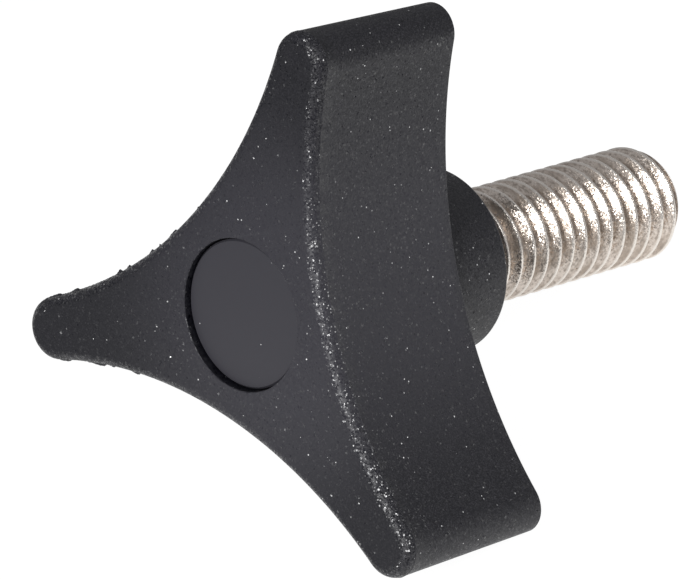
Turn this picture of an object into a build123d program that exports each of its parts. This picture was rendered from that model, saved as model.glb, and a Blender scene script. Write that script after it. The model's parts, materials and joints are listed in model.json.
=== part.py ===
from build123d import *
import math
import os

# Three-prong clamping knob, 40 mm across, with an M8 stud that shows 20 mm of thread.
# Every piece is drawn about the stud's axis: z = 0 is the plane of the knob's face, z grows
# towards the stud's tip, and the third prong lies along +Y. At the end the whole knob is laid
# down as it comes to rest, on the back corners of two prongs and the tip of the stud.

# Grip: one moulding with three prongs and a hub
prongs = 3
knob_diameter = 40.0        # circle over the prong tips, at the face
prong_end_radius = 2.1      # round end of each prong, seen from the front
valley_radius = 33.0        # hollow curve between two prongs
body_thickness = 12.9       # face to the flat back of the prongs
side_draft = 1.4            # degrees: the sides draw in towards the back
front_edge_radius = 0.8
back_edge_radius = 0.3
hub_diameter = 12.4         # at the hub's end, where the knob clamps
hub_height = 5.6            # back of the prongs to the hub's end
hub_draft = 1.5             # degrees: the hub grows towards its root
hub_edge_radius = 0.3
hub_overlap = 1.0           # how far the hub's root runs into the body

# Stud: M8 thread, given as a plain round at the major diameter
stud_diameter = 7.9
stud_reach = 20.0           # hub's end to the stud's tip
tip_chamfer_length = 1.0
tip_chamfer_depth = 0.75
shank_step = 0.25           # how far the plain shank in the hub stands out over the thread
head_overhang = 0.8         # how far the hexagon's flats stand out from the shank
head_height = 4.0
head_depth = 4.0            # face of the knob to the stud's head

# Cover cap: a smooth disc sunk into the face, on a short spigot
recess_diameter = 10.0
cap_gap = 0.1               # round the cap, inside the recess
cap_sink = 0.45             # face of the knob to the cap's surface
cap_thickness = 1.4
cap_edge_chamfer = 0.12
pin_hole_diameter = 4.0
spigot_gap = 0.05           # round the spigot, inside the hole
spigot_end_gap = 0.35       # spigot's end to the stud's head

# Worked out from the sizes above
hub_end = body_thickness + hub_height
stud_tip = hub_end + stud_reach
stud_radius = stud_diameter / 2
shank_radius = stud_radius + shank_step
prong_circle = knob_diameter / 2 - prong_end_radius
half_prong_angle = math.pi / prongs
recess_floor = cap_sink + cap_thickness
from_below = (Align.CENTER, Align.CENTER, Align.MIN)


def polar(radius, angle):
    """Point at a distance and an angle in degrees from the axis."""
    return Vector(radius * math.cos(math.radians(angle)), radius * math.sin(math.radians(angle)))


def valley_distance():
    """Axis to the centre of a valley's arc, which touches both of its prongs' round ends."""
    across = prong_circle * math.sin(half_prong_angle)
    reach = valley_radius + prong_end_radius
    return prong_circle * math.cos(half_prong_angle) + math.sqrt(reach ** 2 - across ** 2)


def grip_outline():
    """Three round prong ends joined by three hollow arcs, all meeting tangent."""
    step = 360 / prongs
    with BuildLine() as line:
        for index in range(prongs):
            angle = 90 + index * step
            tip_centre = polar(prong_circle, angle)
            next_tip_centre = polar(prong_circle, angle + step)
            valley_before = polar(valley_distance(), angle - step / 2)
            valley_after = polar(valley_distance(), angle + step / 2)
            start = tip_centre + (valley_before - tip_centre).normalized() * prong_end_radius
            end = tip_centre + (valley_after - tip_centre).normalized() * prong_end_radius
            following = next_tip_centre + (valley_after - next_tip_centre).normalized() * prong_end_radius
            ThreePointArc(start, polar(knob_diameter / 2, angle), end)
            ThreePointArc(end, polar(valley_distance() - valley_radius, angle + step / 2), following)
    return make_face(line.line)


def hub():
    """Slightly tapered round hub, from inside the body to its own rounded end."""
    root = body_thickness - hub_overlap
    root_radius = hub_diameter / 2 + (hub_end - root) * math.tan(math.radians(hub_draft))
    cone = Pos(0, 0, root) * Cone(root_radius, hub_diameter / 2, hub_end - root, align=from_below)
    return fillet(cone.edges().group_by(Axis.Z)[-1], hub_edge_radius)


def grip():
    """Prongs and hub, with the recess, the pin hole and the space that the stud fills."""
    prong_body = extrude(grip_outline(), body_thickness, taper=side_draft)
    prong_body = fillet(prong_body.faces().sort_by(Axis.Z)[0].edges(), front_edge_radius)
    prong_body = fillet(prong_body.faces().sort_by(Axis.Z)[-1].edges(), back_edge_radius)
    recess = Cylinder(recess_diameter / 2, recess_floor, align=from_below)
    pin_hole = Cylinder(pin_hole_diameter / 2, head_depth, align=from_below)
    return prong_body + hub() - recess - pin_hole - stud()


def stud():
    """Stud with a chamfered tip, and a plain shank and hexagon head inside the moulding."""
    shank_start = head_depth + head_height
    profile = Polyline(
        (0, shank_start),
        (shank_radius, shank_start),
        (shank_radius, hub_end),
        (stud_radius, hub_end),
        (stud_radius, stud_tip - tip_chamfer_length),
        (stud_radius - tip_chamfer_depth, stud_tip),
        (0, stud_tip),
        close=True,
    )
    shaft = revolve(Plane.XZ * make_face(profile), Axis.Z)
    hexagon = RegularPolygon(shank_radius + head_overhang, 6, major_radius=False)
    head = extrude(Pos(0, 0, head_depth) * hexagon, head_height)
    return shaft + head


def cover_cap():
    """Thin disc with a broken edge, on a spigot that goes into the pin hole."""
    disc = Pos(0, 0, cap_sink) * Cylinder(recess_diameter / 2 - cap_gap, cap_thickness, align=from_below)
    disc = chamfer(disc.edges().group_by(Axis.Z)[0], cap_edge_chamfer)
    spigot_length = head_depth - spigot_end_gap - recess_floor
    spigot_radius = pin_hole_diameter / 2 - spigot_gap
    spigot = Pos(0, 0, recess_floor) * Cylinder(spigot_radius, spigot_length, align=from_below)
    return disc + spigot


def lying_tilt():
    """Slope of the stud's axis, in degrees, when two prongs and the stud's tip touch the table."""
    slope = math.radians(side_draft)
    edge_z = body_thickness - back_edge_radius
    low_side = prong_circle * math.cos(half_prong_angle) + prong_end_radius - edge_z * math.tan(slope)
    edge_drop = low_side - back_edge_radius / math.cos(slope)
    along = stud_tip - tip_chamfer_length - edge_z
    down = edge_drop - stud_radius
    return math.degrees(math.atan2(down, along) + math.asin(back_edge_radius / math.hypot(down, along)))


def lie_down(pieces):
    """Turn the upright pieces so that the axis points along +Y and down, then set them on z = 0."""
    turn = Rot(-90 - lying_tilt(), 0, 0) * Rot(0, 0, 180)
    turned = [turn * piece for piece in pieces]
    box = Compound(turned).bounding_box()
    shift = Pos(-(box.min.X + box.max.X) / 2, -(box.min.Y + box.max.Y) / 2, -box.min.Z)
    return [shift * piece for piece in turned]


os.makedirs("parts", exist_ok=True)
names = ["grip", "stud", "cover_cap"]
for name, piece in zip(names, lie_down([grip(), stud(), cover_cap()])):
    export_step(piece, "parts/" + name + ".step")
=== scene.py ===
import json
import math

import bpy
from mathutils import Matrix, Quaternion, Vector


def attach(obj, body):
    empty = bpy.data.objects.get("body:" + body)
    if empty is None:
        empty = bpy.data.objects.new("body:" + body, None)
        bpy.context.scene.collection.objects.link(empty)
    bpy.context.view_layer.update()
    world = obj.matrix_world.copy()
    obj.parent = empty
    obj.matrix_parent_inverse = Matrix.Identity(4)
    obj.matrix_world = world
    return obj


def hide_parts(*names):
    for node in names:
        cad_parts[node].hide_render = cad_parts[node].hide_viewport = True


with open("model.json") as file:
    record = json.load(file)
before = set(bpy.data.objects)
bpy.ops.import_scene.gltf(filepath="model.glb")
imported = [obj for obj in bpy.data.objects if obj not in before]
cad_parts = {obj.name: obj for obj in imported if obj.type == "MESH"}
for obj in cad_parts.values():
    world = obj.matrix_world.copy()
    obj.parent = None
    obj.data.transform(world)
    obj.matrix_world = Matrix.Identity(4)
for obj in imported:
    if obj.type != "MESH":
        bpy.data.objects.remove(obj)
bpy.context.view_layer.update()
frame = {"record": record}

# Grip: three prongs and a hub, moulded in one piece from black-grey glass-filled nylon.
# The mould is spark-eroded, so the skin is finely grained, and its two halves meet along the
# front edge, where a thin ridge and slivers of flash are left. It is moulded round the stud.

prongs = 3
prong_circle = 0.0179            # axis to the centre of a prong's round end
prong_end_radius = 0.0021
valley_radius = 0.033
body_thickness = 0.0129          # face to the flat back of the prongs
side_draft = math.radians(1.4)
front_edge_radius = 0.0008
back_edge_radius = 0.00012
ridge_height = 0.00003           # parting ridge, out from the side
ridge_width = 0.00012
ridge_waviness = 0.000012
flank_rings = 10
front_edge_steps = 10
back_edge_steps = 5
tip_steps = 36                   # mesh steps round a prong's end
valley_steps = 360               # and along a valley
weld_distance = 0.000001         # vertices closer than this become one
face_margin = 0.00015            # flat ring left inside a rounded edge
hub_end = 0.0185                 # face to the hub's end
hub_radius = 0.0062
hub_draft = math.radians(1.5)
hub_overlap = 0.001              # how far the hub's root runs into the body
hub_edge_radius = 0.0003
recess_radius = 0.005
recess_floor = 0.00185
recess_rim = 0.00009             # worn round rim of the recess
rim_angles = (25, 45, 65, 90)    # degrees round the rim's curve, where it has its rings
rim_steps = 256
rim_raggedness = 0.00002
recess_lead = 0.0003             # how far in front of the face the recess's cutter starts
pin_hole_radius = 0.002
pin_hole_lead = 0.0001           # how far the same cutter runs into the stud's head
head_depth = 0.004               # face to the stud's head, where the pin hole ends
head_height = 0.004
head_flats = 0.005               # axis to each flat of the stud's hexagon head
shank_radius = 0.0042

# Slivers of flash on the parting ridge: where each rises and where it breaks off, in degrees
# round the axis, and how far out it stands
flash_slivers = (
    (323.6, 322.8, 0.00010), (321.9, 319.3, 0.00016), (319.2, 318.0, 0.00010), (315.6, 312.9, 0.00016),
    (336.6, 337.4, 0.00009), (338.0, 339.1, 0.00012), (345.6, 347.2, 0.00016), (348.7, 350.0, 0.00013),
    (-2.0, 0.8, 0.00013), (3.9, 5.2, 0.00012), (9.0, 18.4, 0.00014), (35.2, 38.8, 0.00010),
    (56.5, 60.5, 0.00010), (276.4, 274.6, 0.00009), (249.8, 247.3, 0.00010), (197.2, 196.0, 0.00008),
)
tallest_sliver = 0.00016
sliver_rise = 1.6                # slope of a sliver's start, in heights to its length
sliver_break = 7.0               # slope of its broken-off end

third_of_a_turn = 2 * math.pi / prongs
upward = math.pi / 2
valley_distance = prong_circle * math.cos(third_of_a_turn / 2) + math.sqrt(
    (valley_radius + prong_end_radius) ** 2 - (prong_circle * math.sin(third_of_a_turn / 2)) ** 2
)
half_valley = math.atan2(
    prong_circle * math.sin(third_of_a_turn / 2),
    valley_distance - prong_circle * math.cos(third_of_a_turn / 2),
)
half_tip = third_of_a_turn / 2 + half_valley
edge_centre = front_edge_radius * (1 + math.sin(side_draft)) / math.cos(side_draft)
edge_end = front_edge_radius * (1 + math.sin(side_draft))


def polar(radius, angle, height=0.0):
    """Point at a distance and an angle from the knob's axis."""
    return Vector((radius * math.cos(angle), radius * math.sin(angle), height))


def new_piece(name):
    """Empty mesh object at the origin, open in edit mode."""
    if bpy.context.mode != "OBJECT":
        bpy.ops.object.mode_set(mode="OBJECT")
    bpy.ops.object.select_all(action="DESELECT")
    piece = bpy.data.objects.new(name, bpy.data.meshes.new(name))
    bpy.context.scene.collection.objects.link(piece)
    bpy.context.view_layer.objects.active = piece
    piece.select_set(True)
    bpy.ops.object.mode_set(mode="EDIT")
    bpy.ops.mesh.select_mode(type="VERT")
    return piece


def pick(piece, test):
    """Selects, in edit mode, the vertices whose place passes the test."""
    bpy.ops.object.mode_set(mode="EDIT")
    bpy.ops.mesh.select_mode(type="VERT")
    bpy.ops.mesh.select_all(action="DESELECT")
    bpy.ops.object.mode_set(mode="OBJECT")
    for vertex in piece.data.vertices:
        vertex.select = test(vertex.co)
    bpy.ops.object.mode_set(mode="EDIT")


def turn(name, rings, steps=128):
    """Round solid about the knob's axis, from one circle extruded and scaled ring by ring."""
    piece = new_piece(name)
    first_radius, first_height = rings[0]
    bpy.ops.mesh.primitive_circle_add(
        vertices=steps, radius=first_radius, fill_type="NGON", location=(0, 0, first_height)
    )
    for (radius, height), (next_radius, next_height) in zip(rings, rings[1:]):
        rise = (0, 0, next_height - height)
        bpy.ops.mesh.extrude_region_move(TRANSFORM_OT_translate={"value": rise})
        growth = next_radius / radius
        bpy.ops.transform.resize(value=(growth, growth, 1))
    bpy.ops.mesh.select_all(action="SELECT")
    bpy.ops.mesh.normals_make_consistent(inside=False)
    bpy.ops.object.mode_set(mode="OBJECT")
    return piece


def combine(piece, tool, operation):
    """Joins or cuts one closed solid with another, which is used up."""
    bpy.ops.object.select_all(action="DESELECT")
    bpy.context.view_layer.objects.active = piece
    piece.select_set(True)
    boolean = piece.modifiers.new(operation.lower(), "BOOLEAN")
    boolean.operation = operation
    boolean.solver = "EXACT"
    boolean.object = tool
    bpy.ops.object.modifier_apply(modifier=boolean.name)
    bpy.data.objects.remove(tool)


def quarter_round(radius, inner_radius, end_height, steps=5):
    """Rings of a rounded outer edge that ends a round solid at a height."""
    turns = [index / steps * math.pi / 2 for index in range(steps + 1)]
    return [
        (inner_radius + radius * math.cos(angle), end_height - radius + radius * math.sin(angle))
        for angle in turns
    ]


# The body starts as the line round the parting ridge: a point is spun about each prong's round
# end and about each valley in turn. The line is filled, and inset ring by ring to the face.
grip = new_piece("grip_moulding")
ridge_out = edge_end * math.tan(side_draft) - ridge_height
tip_radius = prong_end_radius - ridge_out
start_angle = upward - half_tip
start = polar(prong_circle, upward) + polar(tip_radius, start_angle, edge_end)
bpy.ops.mesh.primitive_circle_add(vertices=3, radius=ridge_width, location=start)
bpy.ops.mesh.merge(type="CENTER")
for index in range(prongs):
    prong_angle = upward + index * third_of_a_turn
    bpy.ops.mesh.spin(
        steps=tip_steps, angle=2 * half_tip, center=polar(prong_circle, prong_angle), axis=(0, 0, -1)
    )
    valley_angle = prong_angle + third_of_a_turn / 2
    bpy.ops.mesh.spin(
        steps=valley_steps, angle=2 * half_valley, center=polar(valley_distance, valley_angle),
        axis=(0, 0, 1),
    )
bpy.ops.mesh.select_all(action="SELECT")
bpy.ops.mesh.remove_doubles(threshold=weld_distance)
bpy.ops.mesh.edge_face_add()
bpy.ops.mesh.normals_make_consistent(inside=False)
bpy.ops.object.mode_set(mode="OBJECT")
facing_back = grip.data.polygons[0].normal.z > 0
bpy.ops.object.mode_set(mode="EDIT")
if facing_back:
    bpy.ops.mesh.flip_normals()


def inset_rings(rings):
    """Insets the selected face to each (drawn in, along) place of a side profile in turn."""
    for (drawn_in, along), (next_in, next_along) in zip(rings, rings[1:]):
        bpy.ops.mesh.inset(thickness=next_in - drawn_in, depth=next_along - along)


edge_angles = [
    (upward + side_draft) * (1 - index / front_edge_steps) for index in range(front_edge_steps + 1)
]
front_edge = [
    (edge_centre - front_edge_radius * math.sin(angle), front_edge_radius * (math.cos(angle) - 1))
    for angle in edge_angles
]
ridge_foot = (front_edge[0][0], ridge_width / 2 - edge_end)
inset_rings(
    [(ridge_out, -edge_end), ridge_foot] + front_edge[1:] + [(edge_centre + face_margin, 0.0)]
)

# The open side of the ridge is filled too, and inset to the back: the drafted flank, the
# small back edge and the flat back.
back_edge_start = body_thickness - back_edge_radius * (1 - math.sin(side_draft))
flank = [
    (along * math.tan(side_draft), along)
    for along in (
        edge_end + ridge_width / 2 + (back_edge_start - edge_end - ridge_width / 2) * index / flank_rings
        for index in range(flank_rings + 1)
    )
]
back_centre = back_edge_start * math.tan(side_draft) + back_edge_radius * math.cos(side_draft)
back_edge = [
    (
        back_centre - back_edge_radius * math.cos(angle),
        body_thickness - back_edge_radius * (1 - math.sin(angle)),
    )
    for angle in (upward * index / back_edge_steps for index in range(1, back_edge_steps + 1))
]
bpy.ops.mesh.select_all(action="DESELECT")
bpy.ops.mesh.select_non_manifold()
bpy.ops.mesh.edge_face_add()
inset_rings([(ridge_out, edge_end)] + flank + back_edge + [(back_centre + face_margin, body_thickness)])
bpy.ops.mesh.select_all(action="SELECT")
bpy.ops.mesh.normals_make_consistent(inside=False)


def on_ridge(place):
    """Whether a place lies on the parting ridge's line."""
    return abs(place.z - edge_end) < ridge_width / 4


# Flash: the ridge is slightly wavy all along, and slivers stand out from it here and there.
pick(grip, on_ridge)
bpy.ops.transform.vertex_random(offset=ridge_waviness, uniform=1.0, seed=5)
bpy.ops.object.mode_set(mode="OBJECT")


def sliver_share(angle):
    """Share of the tallest sliver at an angle in degrees: a slow rise and a broken-off end."""
    for rise, end, height in flash_slivers:
        along = ((angle - rise + 180) % 360 - 180) / (end - rise)
        if 0 < along < 1:
            return height / tallest_sliver * min(1, sliver_rise * along, sliver_break * (1 - along))
    return 0


flash = grip.vertex_groups.new(name="flash")
for vertex in grip.data.vertices:
    if on_ridge(vertex.co):
        angle = math.degrees(math.atan2(vertex.co.y, vertex.co.x))
        flash.add([vertex.index], sliver_share(angle), "REPLACE")
raised = grip.modifiers.new("flash", "DISPLACE")
raised.vertex_group = "flash"
raised.mid_level = 0.0
raised.strength = tallest_sliver
bpy.ops.object.modifier_apply(modifier=raised.name)

hub_root = body_thickness - hub_overlap
hub_root_radius = hub_radius + (hub_end - hub_root) * math.tan(hub_draft)
hub = turn(
    "hub",
    [(hub_root_radius, hub_root)]
    + quarter_round(hub_edge_radius, hub_radius - hub_edge_radius, hub_end)
    + [(hub_radius - hub_edge_radius - face_margin, hub_end)],
)
combine(grip, hub, "UNION")
rim_round = [
    (recess_radius + recess_rim * (1 - math.sin(angle)), recess_rim * (1 - math.cos(angle)))
    for angle in (math.radians(step) for step in rim_angles)
]
recess = turn(
    "recess",
    [(recess_radius + recess_rim, -recess_lead)]
    + rim_round
    + [
        (recess_radius, recess_floor),
        (pin_hole_radius, recess_floor),
        (pin_hole_radius, head_depth + pin_hole_lead),
    ],
    steps=rim_steps,
)
# The worn rim is uneven, all but its last ring, where it meets the recess's wall.
pick(recess, lambda place: 0 < place.z < 0.9 * recess_rim)
bpy.ops.transform.vertex_random(offset=rim_raggedness, uniform=1.0, seed=2)
bpy.ops.object.mode_set(mode="OBJECT")
combine(grip, recess, "DIFFERENCE")


def buried_end(name):
    """The stud's plain shank and hexagon head, which the moulding holds."""
    shank = turn(name, [(shank_radius, head_depth + head_height / 2), (shank_radius, hub_end)])
    head = new_piece("head")
    bpy.ops.mesh.primitive_circle_add(
        vertices=6, radius=head_flats / math.cos(math.pi / 6), fill_type="NGON",
        location=(0, 0, head_depth), rotation=(0, 0, math.pi / 6),
    )
    bpy.ops.mesh.extrude_region_move(TRANSFORM_OT_translate={"value": (0, 0, head_height)})
    bpy.ops.mesh.select_all(action="SELECT")
    bpy.ops.mesh.normals_make_consistent(inside=False)
    bpy.ops.object.mode_set(mode="OBJECT")
    combine(shank, head, "UNION")
    return shank


combine(grip, buried_end("cavity"), "DIFFERENCE")

# How the knob lies: on the back corners of two prongs and the stud's tip, so the stud's axis
# slopes down. The place and the slope come from the stud's own mount.
stud_mount = next(mount for mount in frame["record"]["mounts"] if mount["name"] == "stud")
stud_axis = Vector(stud_mount["axis"])
seat = Vector(stud_mount["pos_m"])
across = Vector((-1, 0, 0))
third_prong = stud_axis.cross(across)
face_centre = seat - stud_axis * hub_end
lying = Matrix.Translation(face_centre) @ Matrix((across, third_prong, stud_axis)).transposed().to_4x4()


def lay_down(piece, smooth_angle):
    """Puts an upright piece where it lies, with its place in its mesh, and smooths its rounds."""
    bpy.ops.object.select_all(action="DESELECT")
    bpy.context.view_layer.objects.active = piece
    piece.select_set(True)
    piece.matrix_world = lying
    bpy.ops.object.transform_apply(location=True, rotation=True, scale=True)
    bpy.ops.object.shade_smooth_by_angle(angle=smooth_angle)


lay_down(grip, smooth_angle=math.radians(28))


def add_node(material, kind, settings, inputs):
    """Adds a shader node; an input that is given a socket is linked to it."""
    tree = material.node_tree
    made = tree.nodes.new(kind)
    for name, value in settings.items():
        setattr(made, name, value)
    for name, value in inputs.items():
        if isinstance(value, bpy.types.NodeSocket):
            tree.links.new(value, made.inputs[name])
        else:
            made.inputs[name].default_value = value
    return made


def new_material(name):
    """Material with its shader, and the place on the piece that its patterns read."""
    material = bpy.data.materials.new(name)
    material.use_nodes = True
    shader = material.node_tree.nodes["Principled BSDF"]
    place = add_node(material, "ShaderNodeTexCoord", {}, {}).outputs["Object"]
    return material, shader, place


def dress(piece, material, shader, patterns):
    """Links the patterns to the shader's sockets and puts the material on the piece."""
    for name, pattern in patterns.items():
        material.node_tree.links.new(pattern, shader.inputs[name])
    piece.data.materials.append(material)


def upright_place(material, place):
    """The place on the piece as if the knob stood upright: a vector, and its three parts."""
    stood = add_node(
        material, "ShaderNodeMapping", {"vector_type": "TEXTURE"},
        {"Vector": place, "Location": face_centre, "Rotation": lying.to_euler()},
    )
    parts = add_node(material, "ShaderNodeSeparateXYZ", {}, {"Vector": stood.outputs["Vector"]})
    return stood.outputs["Vector"], parts.outputs["X"], parts.outputs["Y"], parts.outputs["Z"]


def ramp(material, value, start, end, low=0.0, high=1.0):
    """Goes from low to high as the value goes from start to end, and stays there beyond."""
    made = add_node(
        material, "ShaderNodeMapRange", {"interpolation_type": "SMOOTHSTEP"},
        {"Value": value, "From Min": start, "From Max": end, "To Min": low, "To Max": high},
    )
    return made.outputs["Result"]


def maths(material, operation, first, second):
    """One sum on two numbers."""
    made = add_node(material, "ShaderNodeMath", {"operation": operation}, {0: first, 1: second})
    return made.outputs["Value"]


def product(material, first, *others):
    """Numbers multiplied one after another."""
    for other in others:
        first = maths(material, "MULTIPLY", first, other)
    return first


def vector_maths(material, operation, inputs):
    """One sum on vectors: the outputs of its node."""
    return add_node(material, "ShaderNodeVectorMath", {"operation": operation}, inputs).outputs


def distance_from(material, x, y, centre=(0.0, 0.0)):
    """Distance from the knob's axis, or from a line that runs beside it."""
    aside = maths(material, "SUBTRACT", x, centre[0])
    up = maths(material, "SUBTRACT", y, centre[1])
    squares = maths(material, "ADD", product(material, aside, aside), product(material, up, up))
    return maths(material, "SQRT", squares, 0.0)


def reach(material, place, angle):
    """How far a place lies out from the axis in the direction of an angle."""
    return vector_maths(material, "DOT_PRODUCT", {0: place, 1: polar(1.0, angle)})["Value"]


def blend(material, share, first, second):
    """Colour between two colours."""
    made = add_node(material, "ShaderNodeMix", {"data_type": "RGBA"}, {0: share, 6: first, 7: second})
    return made.outputs[2]


def facet_pattern(material, place, scale):
    """Cells: each one's random lean and random number, and the distance from its middle."""
    cells = add_node(material, "ShaderNodeTexVoronoi", {}, {"Vector": place, "Scale": scale}).outputs
    lot = add_node(
        material, "ShaderNodeTexWhiteNoise", {"noise_dimensions": "3D"}, {"Vector": cells["Position"]}
    )
    lean = vector_maths(material, "SUBTRACT", {0: cells["Color"], 1: (0.5, 0.5, 0.5)})
    return lean["Vector"], lot.outputs["Value"], cells["Distance"]


def tilt(material, normal, lean, amount):
    """Tilts a normal by a lean, as far as the amount says."""
    scaled = vector_maths(material, "SCALE", {0: lean, "Scale": amount})
    leaning = vector_maths(material, "ADD", {0: scaled["Vector"], 1: normal})
    return vector_maths(material, "NORMALIZE", {0: leaning["Vector"]})["Vector"]


def noise(material, place, scale, detail, roughness=0.5):
    """Soft random pattern between 0 and 1."""
    made = add_node(
        material, "ShaderNodeTexNoise", {},
        {"Vector": place, "Scale": scale, "Detail": detail, "Roughness": roughness},
    )
    return made.outputs["Fac"]


def bumps(material, place, scale, height, detail=2.0):
    """Normal of a skin of soft bumps."""
    swell = noise(material, place, scale, detail)
    made = add_node(
        material, "ShaderNodeBump", {}, {"Strength": 1.0, "Distance": height, "Height": swell}
    )
    return made.outputs["Normal"]


# Eroded nylon: a satin skin of tiny facets that lean at random. A few lean further and are
# smoother, and on the rounded front edge most do, so they sparkle where they mirror a lamp.
# The plastic's colour is painted paler round the middle of the face and flanks, for a sheen,
# and darker towards the prong ends; the hub and the recess's wall are painted darkest, for
# shade. It has a few pale specks, scattered at random.
# Along one valley the front edge has pale specks painted in, standing for glints of the lamps.
# The pale tone is a painted sheen; the dark one also stands for painted shade.
nylon_dark_and_painted_shade = (0.002, 0.002, 0.005, 1)
nylon_painted_sheen = (0.030, 0.029, 0.037, 1)
nylon_grain = (0.033, 0.032, 0.038, 1)
nylon_painted_glint = (0.5, 0.5, 0.5, 1)
pale_speck = (0.8, 0.8, 0.8, 1)
facet_scale = 8500.0
skin_scale = 5500.0
skin_height = 0.00002
grain_scale = 11000.0
skin_base_roughness = 0.5
steepest_roughness = 0.17        # of a facet that leans furthest
painted_sheen_spot = (-0.0022, 0.0015)    # middle of the painted sheen, from the axis
glint_valley = math.radians(150)

nylon, nylon_shader, nylon_place = new_material("eroded_nylon")
nylon_upright, nylon_x, nylon_y, nylon_z = upright_place(nylon, nylon_place)
facet_lean, facet_lot, facet_distance = facet_pattern(nylon, nylon_place, facet_scale)
off_axis = distance_from(nylon, nylon_x, nylon_y)
outside = ramp(nylon, off_axis, recess_radius + 0.00005, recess_radius + 0.0002)
near_edge = product(
    nylon,
    ramp(nylon, nylon_z, 0.000001, 0.00002),
    ramp(nylon, nylon_z, 0.0005, 0.0012, low=1.0, high=0.16),
    ramp(nylon, nylon_z, 0.001, 0.005, low=1.0, high=0.0),
    outside,
)
steep_on_edge = product(nylon, near_edge, ramp(nylon, facet_lot, 0.3, 0.7))
steep_anywhere = maths(nylon, "POWER", facet_lot, 9.0)
steepness = maths(nylon, "MAXIMUM", steep_anywhere, steep_on_edge)
nylon_lean = maths(
    nylon, "MAXIMUM",
    ramp(nylon, steep_anywhere, 0.0, 1.0, low=0.2, high=1.0),
    ramp(nylon, steep_on_edge, 0.0, 1.0, low=0.2, high=0.75),
)
nylon_normal = tilt(nylon, bumps(nylon, nylon_place, skin_scale, skin_height), facet_lean, nylon_lean)
on_face = ramp(nylon, nylon_z, 0.0001, 0.00002)
extra_roughness = product(nylon, on_face, ramp(nylon, off_axis, 0.005, 0.016, low=-0.06, high=0.3))
skin_roughness = maths(nylon, "ADD", extra_roughness, skin_base_roughness)
gain = product(nylon, steepness, maths(nylon, "SUBTRACT", skin_roughness, steepest_roughness))
nylon_roughness = maths(nylon, "SUBTRACT", skin_roughness, gain)
# Painted light: a paler sheen round the middle of the face and flanks, and painted shade, the darkest
# tone, on the hub and the recess's wall.
off_painted_sheen_spot = distance_from(nylon, nylon_x, nylon_y, painted_sheen_spot)
clear_of_recess_shade = maths(nylon, "MAXIMUM", outside, on_face)
painted_sheen_share = product(
    nylon, clear_of_recess_shade,
    ramp(nylon, off_painted_sheen_spot, 0.016, 0.004),
    ramp(nylon, nylon_z, body_thickness + 0.001, body_thickness - 0.001),
)
nylon_tone = blend(nylon, painted_sheen_share, nylon_dark_and_painted_shade, nylon_painted_sheen)
grain_share = product(
    nylon,
    ramp(nylon, noise(nylon, nylon_place, grain_scale, detail=1.0), 0.42, 0.72),
    ramp(nylon, on_face, 0.0, 1.0, low=1.0, high=0.4),
    clear_of_recess_shade,
)
grainy_tone = blend(nylon, grain_share, nylon_tone, nylon_grain)
facet_middle = ramp(nylon, facet_distance, 0.5, 0.35)
toward_valley = reach(nylon, nylon_upright, glint_valley)
up_valley = reach(nylon, nylon_upright, glint_valley - upward)
# Painted glints: pale specks on the front edge along one valley.
painted_glint_speck = product(
    nylon,
    ramp(nylon, up_valley, 0.003, 0.010, low=1.0, high=0.15),
    ramp(nylon, up_valley, -0.0165, -0.0145),
    ramp(nylon, toward_valley, 0.0062, 0.0067),
    near_edge,
    ramp(nylon, facet_lot, 0.84, 0.95),
    facet_middle,
)
edge_tone = blend(nylon, painted_glint_speck, grainy_tone, nylon_painted_glint)
# A few pale specks, scattered at random.
speck = product(nylon, ramp(nylon, facet_lot, 0.9955, 0.999), facet_middle)
nylon_colour = blend(nylon, speck, edge_tone, pale_speck)
dress(
    grip, nylon, nylon_shader,
    {"Base Color": nylon_colour, "Roughness": nylon_roughness, "Normal": nylon_normal},
)
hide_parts("grip")
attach(grip, "root")

# Stud: stainless steel with a rolled M8 thread and a chamfered tip. Its plain shank and its
# hexagon head are held fast inside the moulding, and the shank's end lies flush with the hub's.

thread_pitch = 0.00125
crest_radius = 0.00388
crest_rounding = 0.00011
root_rounding = 0.00025
flank_angle = math.radians(30)     # each flank, from square to the axis
rounding_steps = 4
thread_steps = 96
first_triangle = 0.0001            # merged into the first point of the thread's profile
spare_turns = 2                    # turned beyond each end of the thread, then cut off
cut_threshold = 0.0000001          # finer than the thread's mesh, so that the cuts close
crest_height_at_start = 0.021807   # a crest's height where the thread crosses the across direction
stud_tip = 0.0385
tip_chamfer_length = 0.001
tip_chamfer_depth = 0.00075
blank_margin = 0.001               # how far the tip's blank stands out round the thread
blank_overrun = 0.0005             # and how far it runs past the tip

# One pitch of the thread: half a root, a flank, the round crest, a flank, half a root.
sharp_depth = thread_pitch / 2 / math.tan(flank_angle)
crest_centre = crest_radius - crest_rounding
root_centre = (
    crest_centre + crest_rounding / math.sin(flank_angle)
    - sharp_depth + root_rounding / math.sin(flank_angle)
)
quarter = [(upward - flank_angle) * index / rounding_steps for index in range(rounding_steps + 1)]
root_half = [
    (root_centre - root_rounding * math.cos(angle), root_rounding * math.sin(angle) - thread_pitch / 2)
    for angle in quarter
]
crest_half = [
    (crest_centre + crest_rounding * math.cos(angle), -crest_rounding * math.sin(angle))
    for angle in reversed(quarter)
]
rising_side = root_half + crest_half
pitch_profile = rising_side + [(radius, -height) for radius, height in reversed(rising_side[:-1])]

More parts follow.
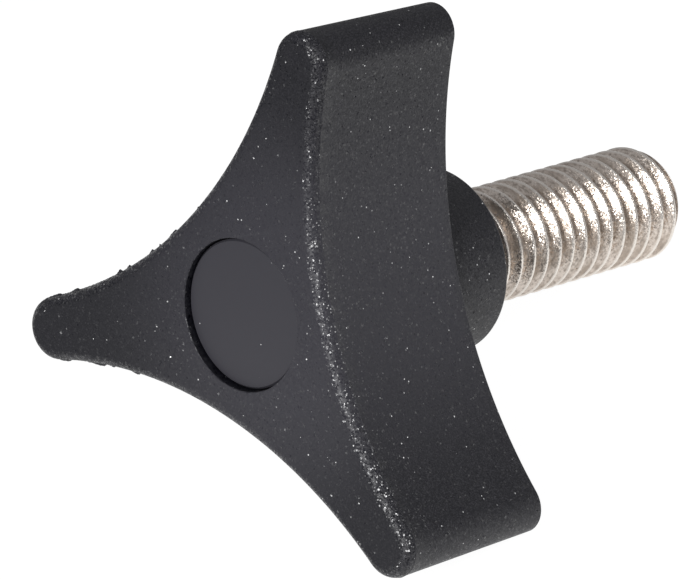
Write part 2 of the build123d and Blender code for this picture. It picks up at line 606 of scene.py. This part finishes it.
stud = new_piece("threaded_stud")
turns_below = math.ceil((crest_height_at_start - hub_end) / thread_pitch) + spare_turns
first_crest = crest_height_at_start - turns_below * thread_pitch
bpy.ops.mesh.primitive_circle_add(
    vertices=3, radius=first_triangle,
    location=(pitch_profile[0][0], 0, first_crest + pitch_profile[0][1]),
)
bpy.ops.mesh.merge(type="CENTER")
for (radius, height), (next_radius, next_height) in zip(pitch_profile, pitch_profile[1:]):
    bpy.ops.mesh.extrude_region_move(
        TRANSFORM_OT_translate={"value": (next_radius - radius, 0, next_height - height)}
    )
bpy.ops.object.mode_set(mode="OBJECT")
screw = stud.modifiers.new("thread", "SCREW")
screw.axis = "Z"
screw.screw_offset = thread_pitch
screw.iterations = math.ceil((stud_tip - first_crest) / thread_pitch) + spare_turns
screw.steps = thread_steps
screw.render_steps = thread_steps
screw.use_merge_vertices = True
screw.merge_threshold = weld_distance
bpy.ops.object.modifier_apply(modifier=screw.name)
bpy.ops.object.mode_set(mode="EDIT")
bpy.ops.mesh.select_all(action="SELECT")
bpy.ops.mesh.remove_doubles(threshold=weld_distance)
bpy.ops.mesh.select_all(action="SELECT")
bpy.ops.mesh.bisect(
    plane_co=(0, 0, hub_end - thread_pitch / 2), plane_no=(0, 0, 1),
    use_fill=True, clear_inner=True, threshold=cut_threshold,
)
bpy.ops.mesh.select_all(action="SELECT")
bpy.ops.mesh.bisect(
    plane_co=(0, 0, stud_tip), plane_no=(0, 0, 1),
    use_fill=True, clear_outer=True, threshold=cut_threshold,
)
bpy.ops.mesh.select_all(action="SELECT")
bpy.ops.mesh.normals_make_consistent(inside=False)
bpy.ops.object.mode_set(mode="OBJECT")
blank_shoulder = stud_tip - tip_chamfer_length * (1 + blank_margin / tip_chamfer_depth)
blank = turn(
    "tip_blank",
    [
        (crest_radius + blank_margin, hub_end - thread_pitch),
        (crest_radius + blank_margin, blank_shoulder),
        (crest_radius - tip_chamfer_depth, stud_tip),
        (crest_radius - 2 * tip_chamfer_depth, stud_tip + blank_overrun),
    ],
)
combine(stud, blank, "INTERSECT")

# Pits in the low side: angle round the axis in degrees, height from the face, and size
pits = (
    (197.5, 0.02832, 0.00021), (199.5, 0.02850, 0.00013), (212.0, 0.02880, 0.00012),
    (211.5, 0.02769, 0.00012), (216.0, 0.03513, 0.00010), (203.0, 0.03150, 0.00010),
    (211.5, 0.03270, 0.00009),
)
pit_radius_from_axis = 0.0037
pit_raggedness = 1 / 7             # share of a pit's size
for angle, height, size in pits:
    pit = new_piece("pit")
    bpy.ops.mesh.primitive_ico_sphere_add(
        subdivisions=2, radius=size, location=polar(pit_radius_from_axis, math.radians(angle), height)
    )
    bpy.ops.transform.vertex_random(offset=size * pit_raggedness, uniform=1.0, seed=round(angle))
    bpy.ops.object.mode_set(mode="OBJECT")
    combine(stud, pit, "DIFFERENCE")
combine(stud, buried_end("buried_end"), "UNION")
lay_down(stud, smooth_angle=math.radians(35))

# Rolled steel: bright worn crests, and flanks that are dull and stained in blotches, with fine
# rolling marks along the thread and tiny facets that sparkle.
flank_bright = (0.84, 0.75, 0.67, 1)
flank_stained = (0.52, 0.44, 0.37, 1)
flank_grain = (0.42, 0.36, 0.31, 1)
crest_worn = (0.92, 0.86, 0.79, 1)
sparkle_scale = 12000.0
sparkle_lean = 0.27
mark_scale = 7000.0
mark_height = 0.000007
stain_scale = 1800.0
steel_grain_scale = 13000.0
rolled_stretch = (0.25, 0.25, 1.0)   # draws the patterns out round the axis
wear_start = 0.00014                 # depths below a crest at which its wear begins
wear_full = 0.00004                  # and is complete

steel, steel_shader, steel_place = new_material("rolled_stainless")
steel_upright, steel_x, steel_y, _ = upright_place(steel, steel_place)
rolled_place = add_node(
    steel, "ShaderNodeMapping", {}, {"Vector": steel_upright, "Scale": rolled_stretch}
).outputs["Vector"]
steel_lean, _, _ = facet_pattern(steel, steel_place, sparkle_scale)
rolling_marks = bumps(steel, rolled_place, mark_scale, mark_height, detail=3.0)
steel_normal = tilt(steel, rolling_marks, steel_lean, sparkle_lean)
stains = noise(steel, rolled_place, stain_scale, detail=4.0, roughness=0.6)
steel_grain = noise(steel, rolled_place, steel_grain_scale, detail=2.0)
from_axis = distance_from(steel, steel_x, steel_y)
worn = ramp(steel, from_axis, crest_radius - wear_start, crest_radius - wear_full)
stained = product(steel, ramp(steel, stains, 0.4, 0.68), maths(steel, "SUBTRACT", 1.0, worn))
flank_colour = blend(steel, stained, flank_bright, flank_stained)
grainy_flank = blend(steel, ramp(steel, steel_grain, 0.4, 0.75), flank_colour, flank_grain)
steel_colour = blend(steel, worn, grainy_flank, crest_worn)
steel_roughness = ramp(steel, stained, 0.0, 1.0, low=0.27, high=0.38)
steel_shader.inputs["Metallic"].default_value = 1.0
dress(
    stud, steel, steel_shader,
    {"Base Color": steel_colour, "Roughness": steel_roughness, "Normal": steel_normal},
)
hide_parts("stud")
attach(stud, "root")

# Cover cap: a smooth nylon disc, held in the recess by a short spigot. It lies a little below
# the face and isn't quite level with it.

cap_radius = 0.0049
cap_sink = 0.00036
cap_slope = math.radians(1.6)
cap_high_side = math.radians(240)
cap_edge = 0.00012                 # chamfer round its face
spigot_radius = 0.00195
spigot_end = 0.00365

cap = turn(
    "cover_disc",
    [
        (cap_radius - 4 * cap_edge, cap_sink),
        (cap_radius - cap_edge, cap_sink),
        (cap_radius, cap_sink + cap_edge),
        (cap_radius, recess_floor),
        (spigot_radius, recess_floor),
        (spigot_radius, spigot_end),
    ],
)
pick(cap, lambda place: place.z < cap_sink + 2 * cap_edge)
bpy.ops.transform.rotate(
    value=cap_slope, orient_axis="X", orient_matrix=Matrix.Rotation(cap_high_side - upward, 3, "Z"),
    orient_type="GLOBAL", center_override=(0, 0, cap_sink),
)
bpy.ops.object.mode_set(mode="OBJECT")
lay_down(cap, smooth_angle=math.radians(35))

# Satin nylon: soft shallow bumps, and a very few pale specks.
satin_nylon = (0.036, 0.035, 0.043, 1)
satin_speck = (0.6, 0.6, 0.6, 1)
satin_facet_scale = 9500.0
satin_bump_scale = 12000.0
satin_bump_height = 0.000004
satin_roughness = 0.42

satin, satin_shader, satin_place = new_material("satin_nylon")
_, cap_lot, cap_distance = facet_pattern(satin, satin_place, satin_facet_scale)
cap_speck = product(satin, ramp(satin, cap_lot, 0.9993, 0.9998), ramp(satin, cap_distance, 0.5, 0.35))
cap_colour = blend(satin, cap_speck, satin_nylon, satin_speck)
cap_normal = bumps(satin, satin_place, satin_bump_scale, satin_bump_height)
satin_shader.inputs["Roughness"].default_value = satin_roughness
dress(cap, satin, satin_shader, {"Base Color": cap_colour, "Normal": cap_normal})
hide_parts("cover_cap")
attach(cap, "root")

# Table: a white sheet under the knob. It shows as white to the eye and keeps a faint shadow of
# the knob. Reflections show it darker, and only round the knob. Its colour and its glow in
# reflections are painted: a pool of light round the knob, and painted shade further out.

table_size = 6.0
paper_white = (0.9, 0.9, 0.9, 1)
paper_shaded = (0.22, 0.22, 0.22, 1)
paper_roughness = 0.9
plain_white = 1.12               # strength of the sheet's own glow
table_glow = 0.86                # share of that glow that the eye sees
mirrored_glow = 0.58             # share of it in reflections
lit_centre = (0.05, 0.04, 0.0)   # the painted light is best on the knob's far right
shade_start = 0.06               # from here out the sheet is painted more and more in shade
shade_end = 0.14

bpy.ops.mesh.primitive_plane_add(size=table_size, location=(0, 0, 0))
table = bpy.context.object
table.name = "white_table"
paper, paper_shader, paper_place = new_material("white_paper")
paper_shader.inputs["Roughness"].default_value = paper_roughness
paper_shader.inputs["Specular IOR Level"].default_value = 0.0
# Painted light: the sheet's colour and reflected glow are brightest round the knob, with painted shade
# further out.
from_centre = vector_maths(paper, "DISTANCE", {0: paper_place, 1: lit_centre})["Value"]
painted_light_pool = ramp(paper, from_centre, shade_end, shade_start)
paper_colour = blend(paper, painted_light_pool, paper_shaded, paper_white)
ray = add_node(paper, "ShaderNodeLightPath", {}, {}).outputs
mirrored = maths(paper, "MAXIMUM", ray["Is Glossy Ray"], ray["Is Transmission Ray"])
glow = maths(
    paper, "MAXIMUM",
    product(paper, ray["Is Camera Ray"], table_glow),
    product(paper, mirrored, painted_light_pool, mirrored_glow),
)
white = add_node(paper, "ShaderNodeEmission", {}, {"Color": (1, 1, 1, 1), "Strength": plain_white})
mixed = add_node(
    paper, "ShaderNodeMixShader", {},
    {0: glow, 1: paper_shader.outputs["BSDF"], 2: white.outputs["Emission"]},
)
paper_output = next(n for n in paper.node_tree.nodes if n.type == "OUTPUT_MATERIAL")
paper.node_tree.links.new(mixed.outputs["Shader"], paper_output.inputs["Surface"])
dress(table, paper, paper_shader, {"Base Color": paper_colour})

# Room and lamps: a dim grey room, a small bright lamp near the camera, a wide soft one in
# front of the face, a small one high on the stud's side, and a dim reflector behind.

room_grey = (0.32, 0.32, 0.33, 1)
lamp_distance = 0.6
knob_middle = Vector((0, -0.0088, 0.011))

room = bpy.data.worlds.new("room")
room.use_nodes = True
room.node_tree.nodes["Background"].inputs["Color"].default_value = room_grey
room.node_tree.nodes["Background"].inputs["Strength"].default_value = 1.0
bpy.context.scene.world = room


def direction(azimuth, elevation):
    """Way from the knob to a place round it: azimuth 0 is in front of the face."""
    return Vector((
        math.sin(azimuth) * math.cos(elevation),
        -math.cos(azimuth) * math.cos(elevation),
        math.sin(elevation),
    ))


def add_lamp(name, azimuth, elevation, size, brightness):
    """Square soft lamp that faces the knob; its brightness is that of its own surface."""
    light = bpy.data.lights.new(name, "AREA")
    light.shape = "SQUARE"
    light.size = size
    light.energy = brightness * math.pi * size ** 2
    lamp = bpy.data.objects.new(name, light)
    bpy.context.scene.collection.objects.link(lamp)
    way = direction(math.radians(azimuth), math.radians(elevation))
    lamp.location = knob_middle + way * lamp_distance
    lamp.rotation_mode = "QUATERNION"
    lamp.rotation_quaternion = way.to_track_quat("Z", "Y")
    lamp.visible_camera = False


add_lamp("bright_lamp", azimuth=20, elevation=34, size=0.16, brightness=28)
add_lamp("soft_lamp", azimuth=8, elevation=28, size=0.42, brightness=1.8)
add_lamp("side_lamp", azimuth=106, elevation=54, size=0.15, brightness=5.5)
add_lamp("back_reflector", azimuth=142, elevation=12, size=0.25, brightness=0.35)

# Camera: looks down on the knob from the front right with a long lens.

camera_azimuth = math.radians(45.4917)
camera_elevation = math.radians(37.5469)
camera_roll = math.radians(0.465)
camera_distance = 0.559426
camera_lens = 461.034
camera_target = Vector((0, -0.008797, 0.011037))

camera_data = bpy.data.cameras.new("camera")
camera_data.lens = camera_lens
camera_data.sensor_width = 36.0
camera = bpy.data.objects.new("camera", camera_data)
bpy.context.scene.collection.objects.link(camera)
toward_camera = direction(camera_azimuth, camera_elevation)
camera.location = camera_target + toward_camera * camera_distance
camera.rotation_mode = "QUATERNION"
camera.rotation_quaternion = toward_camera.to_track_quat("Z", "Y") @ Quaternion((0, 0, 1), camera_roll)
bpy.context.scene.camera = camera
bpy.context.scene.view_settings.view_transform = "Standard"
